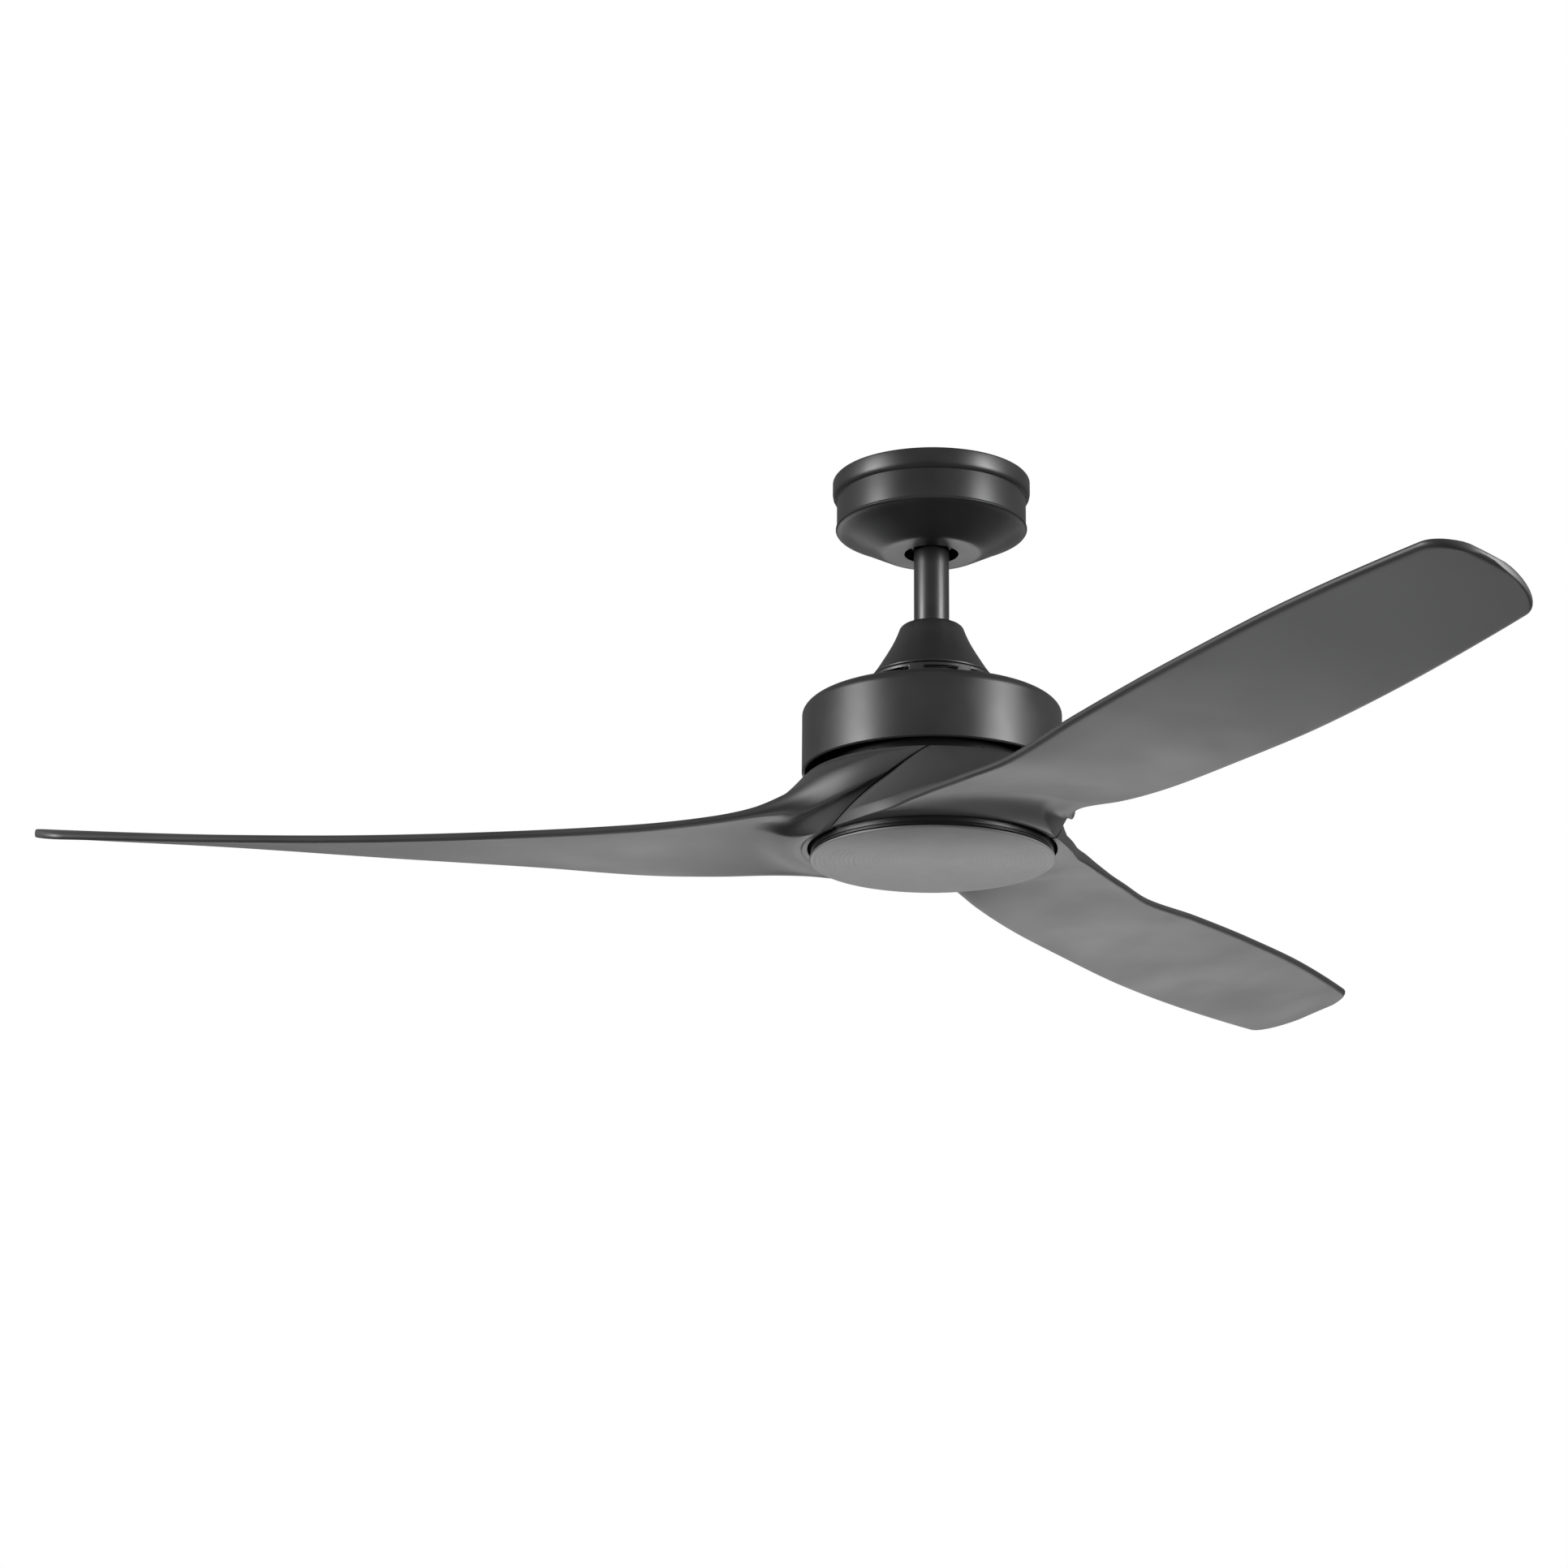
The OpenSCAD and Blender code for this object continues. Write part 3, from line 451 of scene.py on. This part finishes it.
def soften(piece, width, segments=3, angle=SHARP):
    """Rounds the corners that are sharper than angle degrees."""
    apply_modifier(piece, "BEVEL", width=width * MM, segments=segments, limit_method="ANGLE",
                   angle_limit=radians(angle), use_clamp_overlap=True)


def join(pieces):
    only(pieces[0])
    for other in pieces[1:]:
        other.select_set(True)
    bpy.ops.object.join()
    return pieces[0]


def finish_piece(piece, body, slot, *nodes):
    """Shades a piece, gives it its slot's finish and has it stand for its CAD nodes."""
    only(piece)
    bpy.ops.object.shade_smooth_by_angle(angle=radians(SHARP))
    piece.data.materials.clear()
    piece.data.materials.append(finish_of[slot])
    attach(piece, body)
    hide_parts(*nodes)


# ---------------------------------------------------------------- ceiling side

RING_IN_R = 72.15
CANOPY_SCREW_Z, CANOPY_SCREW_HOLE_R = -7, 2.2


def trim_ring():
    outer = outer_radius("canopy_trim_ring")
    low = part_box("canopy_trim_ring")[0].z / MM
    inner = RING_IN_R
    piece = turned("canopy_ring", [
        (inner, low), (outer - 1.4, low + 1.3), (outer - 0.4, low + 3.2), (outer, low + 5.4),
        (outer, -1.2), (outer - 1, 0), (inner - 1.35, 0), (inner - 1.35, -1.2), (outer - 1.3, -1.2),
        (outer - 1.3, low + 4.5), (inner + 0.55, low + 1.9), (inner, low + 1.5)], sides=256)
    soften(piece, 0.4)
    finish_piece(piece, "ceiling_side", "black_paint", "canopy_trim_ring")


def outer_radius(node):
    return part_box(node)[1].x / MM


def canopy():
    foot = CANOPY_FOOT
    piece = turned("canopy_shell", [
        (72, -1.4), (72, -37.2), (72.35, -37.5), (72.8, -38.2), (72.8, -39), (72.3, -39.7), (71.6, -40.1),
        (70, -40.6), (68, -41.5), (64, -43.7), (60, -46), (52, -50.2), (44, -54.4), (40, -56.5),
        (38, -57.4), (36.5, foot + 0.15), (34.5, foot), (20.6, foot),
        (20.6, foot + 1.5), (36.2, foot + 1.5), (43.4, -53), (59.4, -44.6), (67.5, -39.8), (70.5, -38.6),
        (70.5, -1.4)], sides=256)
    cut(piece, [rod_cutter(CANOPY_SCREW_HOLE_R, 160, CANOPY_SCREW_Z)])
    soften(piece, 0.35, angle=50)
    finish_piece(piece, "ceiling_side", "black_paint", "canopy")


# ---------------------------------------------------------------- rod and coupling cover

ROD_WALL = 2
PIN_R, PIN_BORE = 3, 3.05
BALL_PIN_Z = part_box("ball_cross_pin")[0].z / MM + PIN_R
CLEVIS_PIN_H = 158


def downrod():
    low, high = (corner.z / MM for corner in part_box("downrod"))
    outer = outer_radius("downrod")
    bore = outer - ROD_WALL
    piece = turned("downrod_tube", [(outer, low), (outer, high), (bore, high), (bore, low)], sides=128)
    cut(piece, [rod_cutter(PIN_BORE, 60, BALL_PIN_Z), rod_cutter(PIN_BORE, 60, FACE + CLEVIS_PIN_H)])
    soften(piece, 0.3, segments=2, angle=60)
    finish_piece(piece, "suspension", "black_paint", "downrod")


def bell():
    outline = [(14.6, 184), (19.2, 184), (20.6, 183.8), (22.1, 183.1), (23.3, 182.1), (24.2, 180.9),
               (26.2, 175.6), (28.2, 171), (30.2, 167), (32.2, 163.4), (34.5, 159.4), (36.9, 155.5),
               (39.3, 151.5), (41.8, 147.6), (43.4, 145.3), (44.7, 143.6), (45.1, 142.9), (45.0, 142.3),
               (44.5, 142), (43.4, 142.1), (42.6, 142.8), (39.8, 147), (34.9, 154.9), (30.2, 162.6),
               (26.1, 170.4), (22.4, 179.6), (20.4, 181.6), (14.6, 182)]
    piece = turned("coupling_bell", [(r, FACE + h) for r, h in outline], sides=192)
    soften(piece, 0.5, angle=50)
    finish_piece(piece, "bell", "black_paint", "coupling_cover")


# ---------------------------------------------------------------- motor housing

CENTRE_BORE = 10.05
NECK_R, NECK_TOP, NECK_WALL, SHELL_WALL = 47.5, 140.5, 4, 2.2
SHOULDER_W, SHOULDER_H, DRUM_TOP, DRUM_FOOT = 23.4, 11.6, 112, 67
VENTS, VENT_START, VENT_LENGTH, VENT_H, VENT_MID = 8, 10.5, 26.2, 2.6, 136.7
VENT_REACH = 14


def vent_cutter(heading):
    """A stadium-ended bar that points out along heading: a cube with its four long edges rounded."""
    bpy.ops.object.select_all(action="DESELECT")
    bpy.ops.mesh.primitive_cube_add(size=1)
    cutter = new_piece("cutter")
    cutter.data.transform(Matrix.Diagonal((VENT_REACH * MM, VENT_LENGTH * MM, VENT_H * MM, 1)))
    bpy.ops.object.mode_set(mode="EDIT")
    bpy.ops.mesh.select_all(action="DESELECT")
    mesh = bmesh.from_edit_mesh(cutter.data)
    for edge in mesh.edges:
        along = edge.verts[0].co - edge.verts[1].co
        edge.select_set(abs(along.x) > abs(along.y) + abs(along.z))
    bmesh.update_edit_mesh(cutter.data)
    bpy.ops.mesh.bevel(offset=0.49 * VENT_H * MM, segments=6, affect="EDGES")
    bpy.ops.object.mode_set(mode="OBJECT")
    reach = Matrix.Translation(((NECK_R - 2) * MM, 0, (FACE + VENT_MID) * MM))
    cutter.data.transform(Matrix.Rotation(radians(heading), 4, "Z") @ reach)
    return cutter


def motor_housing():
    radius = outer_radius("motor_housing")

    def shoulder(inset, steps):
        return [(radius - SHOULDER_W + (SHOULDER_W - inset) * cos(a * pi / 2 / steps),
                 DRUM_TOP + (SHOULDER_H - inset) * sin(a * pi / 2 / steps)) for a in range(steps + 1)]

    outline = [(CENTRE_BORE, 134), (NECK_R - NECK_WALL, 134), (NECK_R - NECK_WALL, NECK_TOP),
               (NECK_R - 0.6, NECK_TOP),
               (NECK_R, NECK_TOP - 0.6), (NECK_R, 133.1)]
    outline += reversed(shoulder(0, 14))
    outline += [(radius, DRUM_FOOT + 1), (radius - 0.8, DRUM_FOOT), (radius - SHELL_WALL, DRUM_FOOT)]
    outline += shoulder(SHELL_WALL, 8) + [(NECK_R, 130.8), (CENTRE_BORE, 130.8)]
    piece = turned("motor_shell", [(r, FACE + h) for r, h in outline], sides=256)
    step = 360 / VENTS
    cut(piece, [vent_cutter(VENT_START + step * i) for i in range(VENTS)])
    soften(piece, 0.3, segments=2, angle=40)
    finish_piece(piece, "suspension", "black_paint", "motor_housing")


# ---------------------------------------------------------------- blades

COLLAR_R, COLLAR_WALL, COLLAR_LOW, COLLAR_HIGH = 96.5, 3.5, 8.5, 60
TIP_R = 672
HALF_T = 3.1
# Plan of one blade, collar to tip: radius, then azimuth and height of the leading edge, azimuth and
# height of the trailing edge, and half the thickness at the leading and the trailing edge
BLADE_PLAN = [
    (COLLAR_R, -137.6, COLLAR_LOW, 30, COLLAR_HIGH, 1, 2),
    (99, -128.5, 9, 18, 51.6, 1.2, 5.5),
    (104, -116.5, 9.8, 2, 42.5, 1.5, 7.5),
    (112, -105, 10.7, -16.5, 34.5, 2, 8.4),
    (124, -97.4, 11.9, -26.8, 27.8, 2.6, 6.6),
    (145, -89.5, 12, -33.5, 20.8, HALF_T, 3.9),
    (180, -82, 10.6, -38.3, 14, HALF_T, HALF_T),
    (230, -75.1, 10.4, -42.6, 8.6, HALF_T, HALF_T),
    (310, -70.3, 16.8, -46.8, 4.4, HALF_T, HALF_T),
    (420, -66.5, 23.5, -49.9, 1.6, HALF_T, HALF_T),
    (540, -63.6, 30, -52.2, 3.5, HALF_T, HALF_T),
    (TIP_R, -61.1, 33.2, -54.1, 9, HALF_T, HALF_T)]
SEAM_SHARE, SEAM_GAP, CAMBER = 0.284, 0.6, 1.5
UPPER_FLARE, LOWER_FLARE, LEAD_BULGE = 65, 45, 5
LEAD_CORNER, TRAIL_CORNER, EDGE_GROW, EDGE_ROUND = (20, 29), (30, 50), 2.5, 1.2
EDGE_STEPS = (0.02, 0.07, 0.15, 0.27, 0.42, 0.6, 0.8, 1.0)
CHORD_STEPS, RING_STEPS, TIP_STEPS = 44, 76, 14


def plan(column, radius):
    """Smooth curve through one column of the blade's plan."""
    rows = BLADE_PLAN
    i = 0
    while i < len(rows) - 2 and radius >= rows[i + 1][0]:
        i += 1

    def slope(j):
        a, b = rows[max(j - 1, 0)], rows[min(j + 1, len(rows) - 1)]
        return (b[column] - a[column]) / (b[0] - a[0])

    width = rows[i + 1][0] - rows[i][0]
    t = (radius - rows[i][0]) / width
    return ((1 + 2 * t) * (1 - t) ** 2 * rows[i][column] + t * (1 - t) ** 2 * width * slope(i)
            + t * t * (3 - 2 * t) * rows[i + 1][column] + t * t * (t - 1) * width * slope(i + 1))


def smooth(u):
    v = min(1, max(0, u))
    return v * v * (3 - 2 * v)


def arc(u):
    return sqrt(max(0, 1 - (1 - min(1, u)) ** 2))


def fade(u):
    """1 over the rounding of an edge, then down to 0 over three more such lengths."""
    return 1 - smooth((u - 1) / 3)


def flare(radius, reach):
    return max(0, 1 - (radius - COLLAR_R) / reach) ** 2


def corner(radius, size):
    return size[1] * (1 - arc(1 - max(0, radius - TIP_R + size[0]) / size[0]))


def blade_section(r):
    """Closed section at radius r: leading edge, upper side, trailing edge, lower side."""
    q = max(r, COLLAR_R)
    root, under = flare(q, UPPER_FLARE), flare(q, LOWER_FLARE)
    a0, z0, a1, z1 = (plan(column, q) for column in (1, 2, 3, 4))
    chord = radians(a1 - a0) * q
    gap = SEAM_GAP * root / (a1 - a0)
    ta = gap + corner(q, LEAD_CORNER) / chord
    tb = 1 - gap - corner(q, TRAIL_CORNER) / chord
    thin = max(0.25, arc(1 - max(0, q - TIP_R + HALF_T) / HALF_T))
    grow = min(1, (q - COLLAR_R) / EDGE_GROW) * thin
    ha, hb = plan(5, q) * grow, plan(6, q) * grow
    most = 0.3 * (tb - ta)
    la = min(most, EDGE_ROUND * max(ha, 1) / chord)
    lb = min(most, EDGE_ROUND * max(hb, 1) / chord)
    plain, full, arch = HALF_T * thin * (1 - root), COLLAR_HIGH - COLLAR_LOW, CAMBER * (1 - root)

    def mid(t):
        return z0 + (z1 - z0) * t + arch * 4 * t * (1 - t)

    def over(t):
        return plain + root * (z0 + (COLLAR_HIGH - z0) * min(1, (t - gap) / SEAM_SHARE) - mid(t))

    def below(t):
        return plain + under * full * (t - max(0, (t - 1 + SEAM_SHARE + gap) / SEAM_SHARE))

    def rounding(t):
        return arc((t - ta) / la) * arc((tb - t) / lb)

    def upper(t):
        lead = (ha + LEAD_BULGE * sqrt(root) * grow - over(ta)) * fade((t - ta) / la)
        return mid(t) + rounding(t) * (over(t) + lead + (hb - over(1)) * smooth((t - 0.4) / 0.6))

    def lower(t):
        lead = (ha - below(0)) * fade((t - ta) / la)
        return mid(t) - rounding(t) * (below(t) + lead + (hb - below(tb)) * fade((tb - t) / lb))

    def spot(t, height):
        azimuth = radians(a0 + (a1 - a0) * t)
        return (r * cos(azimuth) * MM, r * sin(azimuth) * MM, (FACE + height) * MM)

    start, stop = ta + la * EDGE_STEPS[-1], tb - lb * EDGE_STEPS[-1]
    ts = [ta + la * e for e in EDGE_STEPS]
    ts += [start + (stop - start) * k / (CHORD_STEPS + 1) for k in range(1, CHORD_STEPS + 1)]
    ts += [tb - lb * e for e in reversed(EDGE_STEPS)]
    return ([spot(ta, mid(ta))] + [spot(t, upper(t)) for t in ts] + [spot(tb, mid(tb))]
            + [spot(t, lower(t)) for t in reversed(ts)])


def blade_radii():
    inner = TIP_R - TRAIL_CORNER[0]
    radii = [COLLAR_R - COLLAR_WALL, COLLAR_R - 0.6 * COLLAR_WALL, COLLAR_R - 0.2 * COLLAR_WALL]
    radii += [COLLAR_R + (inner - COLLAR_R) * (i / RING_STEPS) ** 2.1 for i in range(RING_STEPS + 1)]
    return radii + [TIP_R - TRAIL_CORNER[0] * (1 - sin(i * pi / 2 / TIP_STEPS))
                    for i in range(1, TIP_STEPS + 1)]


def blade_mesh():
    """Skins the sections, since no primitive comes near a twisted blade that grows out of a collar."""
    mesh = bmesh.new()
    rings = [[mesh.verts.new(point) for point in blade_section(r)] for r in blade_radii()]
    count = len(rings[0])
    for inner, outer in zip(rings, rings[1:]):
        for k in range(count):
            after = (k + 1) % count
            mesh.faces.new((inner[k], outer[k], outer[after], inner[after]))
    for ring in (rings[0], rings[-1]):
        mesh.faces.new((ring[0], ring[1], ring[count - 1]))
        for k in range(1, count // 2 - 1):
            mesh.faces.new((ring[k], ring[k + 1], ring[count - k - 1], ring[count - k]))
        half = count // 2
        mesh.faces.new((ring[half - 1], ring[half], ring[half + 1]))
    bmesh.ops.recalc_face_normals(mesh, faces=mesh.faces)
    data = bpy.data.meshes.new("blade")
    mesh.to_mesh(data)
    mesh.free()
    return data


def blades():
    first = blade_mesh()
    for i in range(3):
        data = first.copy()
        data.transform(Matrix.Rotation(radians(120 * i), 4, "Z"))
        piece = bpy.data.objects.new(f"fan_blade_{i + 1}", data)
        bpy.context.scene.collection.objects.link(piece)
        finish_piece(piece, "rotor", "blade_plastic", f"blade_{i + 1}")


# ---------------------------------------------------------------- light

PAN_R, LEDGE_IN_R, LEDGE_H, LEDGE_T, LEDGE_ARC, LUG_ARC = 90.3, 85.6, 9, 2, 22, 18
SPIGOT_TOP, SPIGOT_WALL = 13.4, 1.8


def light_pan():
    outline = [(CENTRE_BORE, 26), (PAN_R - 1.5, 26), (PAN_R, 24.5), (PAN_R, 5.2), (PAN_R - 0.9, 4.9),
               (PAN_R - 0.9, 4.1), (PAN_R + 0.4, 3.8), (PAN_R + 0.4, 3), (PAN_R, 2.8), (PAN_R - 1.8, 2.8),
               (PAN_R - 1.8, 24), (CENTRE_BORE, 24)]
    piece = turned("light_pan_shell", [(r, FACE + h) for r, h in outline], sides=256)
    soften(piece, 0.25, segments=2)
    ledges = [arc_block("ledge", LEDGE_IN_R, PAN_R - 1, FACE + LEDGE_H, FACE + LEDGE_H + LEDGE_T,
                        LEDGE_ARC, i * 120) for i in range(3)]
    piece = join([piece] + ledges)
    finish_piece(piece, "suspension", "black_paint", "light_pan")


def light_cover():
    radius = outer_radius("light_cover")
    spigot = LEDGE_IN_R - 0.8
    outline = [(3, 0), (radius - 0.9, 0), (radius - 0.3, 0.3), (radius, 0.9), (radius, 1.6),
               (radius - 0.4, 2), (spigot, 2), (spigot, SPIGOT_TOP), (spigot - SPIGOT_WALL, SPIGOT_TOP),
               (spigot - SPIGOT_WALL, 2), (3, 2)]
    piece = turned("light_cover_disc", [(r, FACE + h) for r, h in outline], sides=256, capped=True)
    soften(piece, 0.2, segments=2)
    lugs = [arc_block("lug", LEDGE_IN_R - 1, LEDGE_IN_R + 1.9, FACE + LEDGE_H + 2.2, FACE + LEDGE_H + 4.2,
                      LUG_ARC, i * 120) for i in range(3)]
    piece = join([piece] + lugs)
    finish_piece(piece, "cover", "cover_finish", "light_cover")


# ---------------------------------------------------------------- stage and light

# In metres, as are the places and sizes of the lights
FLOOR_Z, FLOOR_R = -6.0, 5
HUB = (0, 0, -0.22)
# Strength of the world's light below the fan and above it
DARK_BELOW, ROOM_GLOW = 0.03, 0.22


def pale_paper(tree, place):
    """Matt paper on the studio floor: nearly white, with clouds too faint to draw the eye."""
    clouds = put(tree, "TexNoise", {"Vector": place, "Scale": per(400)})["Fac"]
    paint = put(tree, "Mix", {"Factor": clouds, "A": srgb("#f2f2f0"), "B": srgb("#f8f8f6")},
                data_type="RGBA")["Result"]
    return {"Roughness": 0.9, "Base Color": paint}


def floor():
    bpy.ops.object.select_all(action="DESELECT")
    bpy.ops.mesh.primitive_circle_add(vertices=96, radius=FLOOR_R, fill_type="NGON",
                                      location=(0, 0, FLOOR_Z))
    ground = new_piece("floor")
    ground.data.materials.append(make_finish(pale_paper))


def softbox(name, where, target, size, power):
    """A rectangular light that faces the target."""
    light = bpy.data.lights.new(name, "AREA")
    light.shape = "RECTANGLE"
    light.size, light.size_y = size
    light.energy = power
    lamp = bpy.data.objects.new(name, light)
    lamp.location = where
    toward = Vector(target) - Vector(where)
    lamp.rotation_euler = toward.to_track_quat("-Z", "Y").to_euler()
    lamp.visible_camera = False
    bpy.context.scene.collection.objects.link(lamp)


def studio():
    world = bpy.data.worlds.new("studio")
    bpy.context.scene.world = world
    world.use_nodes = True
    tree = world.node_tree
    tree.nodes.clear()
    direction = put(tree, "TexCoord")["Generated"]
    height = put(tree, "SeparateXYZ", {"Vector": direction})["Z"]
    # Dark below the fan, and an even dim room above it
    room = put(tree, "MapRange", {"Value": height, "From Min": -0.3, "From Max": 0.1,
                                  "To Min": DARK_BELOW, "To Max": ROOM_GLOW})["Result"]
    glow = put(tree, "Background", {"Color": (1, 1, 1, 1), "Strength": room})["Background"]
    paper = put(tree, "Background", {"Color": (1, 1, 1, 1), "Strength": 1.0})["Background"]
    seen = put(tree, "LightPath")["Is Camera Ray"]
    both = put(tree, "MixShader", {"Fac": seen, 1: glow, 2: paper})["Shader"]
    put(tree, "OutputWorld", {"Surface": both})
    softbox("left_softbox", (-2.3, -1.1, 0.1), HUB, (0.8, 1.6), 88)
    softbox("right_softbox", (2.2, -1.0, 0.1), HUB, (0.8, 1.6), 86)
    # The undersides and the cover mirror a panel low behind the fan, and the tips in front miss it
    softbox("rear_softbox", (0, 2.2, -1.22), HUB, (2.6, 0.8), 21)
    softbox("low_softbox", (0, 0.1, -1.4), (0, 0.05, -0.3), (0.6, 0.6), 3)
    bpy.context.scene.view_settings.view_transform = "Standard"


# ---------------------------------------------------------------- build

aim_camera()
finish_of = {slot: make_finish(finish) for slot, finish in FINISHES.items()}
for part in frame["record"]["subparts"]:
    data = frame["nodes"][part["node"]].data
    data.materials.clear()
    data.materials.append(finish_of[part["material_slot"]])

trim_ring()
canopy()
downrod()
bell()
motor_housing()
blades()
light_pan()
light_cover()
floor()
studio()
